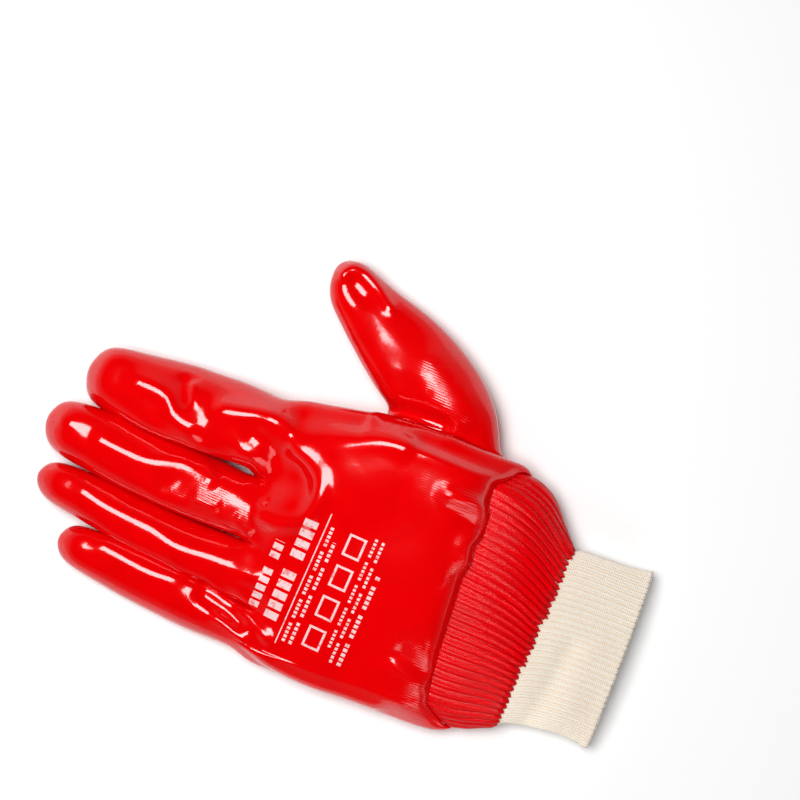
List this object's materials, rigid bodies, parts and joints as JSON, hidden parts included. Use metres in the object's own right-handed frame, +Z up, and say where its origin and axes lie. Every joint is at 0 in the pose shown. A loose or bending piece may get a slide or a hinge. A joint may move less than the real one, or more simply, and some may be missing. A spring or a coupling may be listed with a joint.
{
  "type": "pvc coated work glove",
  "caption": "Left-hand work glove in glossy red PVC with a ribbed knit wrist, lying flat on its palm.",
  "frame": {"origin": "bottom centre of the bounding box, on the surface that the glove lies on", "axes": "+Z up, out of the back of the hand; +Y towards the fingertips; +X towards the thumb"},
  "size_m": [0.1794, 0.275, 0.0431],
  "materials": {
    "red_pvc": "smooth high gloss dip coat over a cotton jersey liner",
    "red_pvc_ribbed": "thin gloss coat soaked into rib knit",
    "cream_knit": "unbleached cotton rib knit, matt"
  },
  "bodies": {
    "root": {"hand_shell": "red_pvc", "coated_wrist_band": "red_pvc_ribbed", "knit_cuff": "cream_knit"}
  },
  "joints": []
}
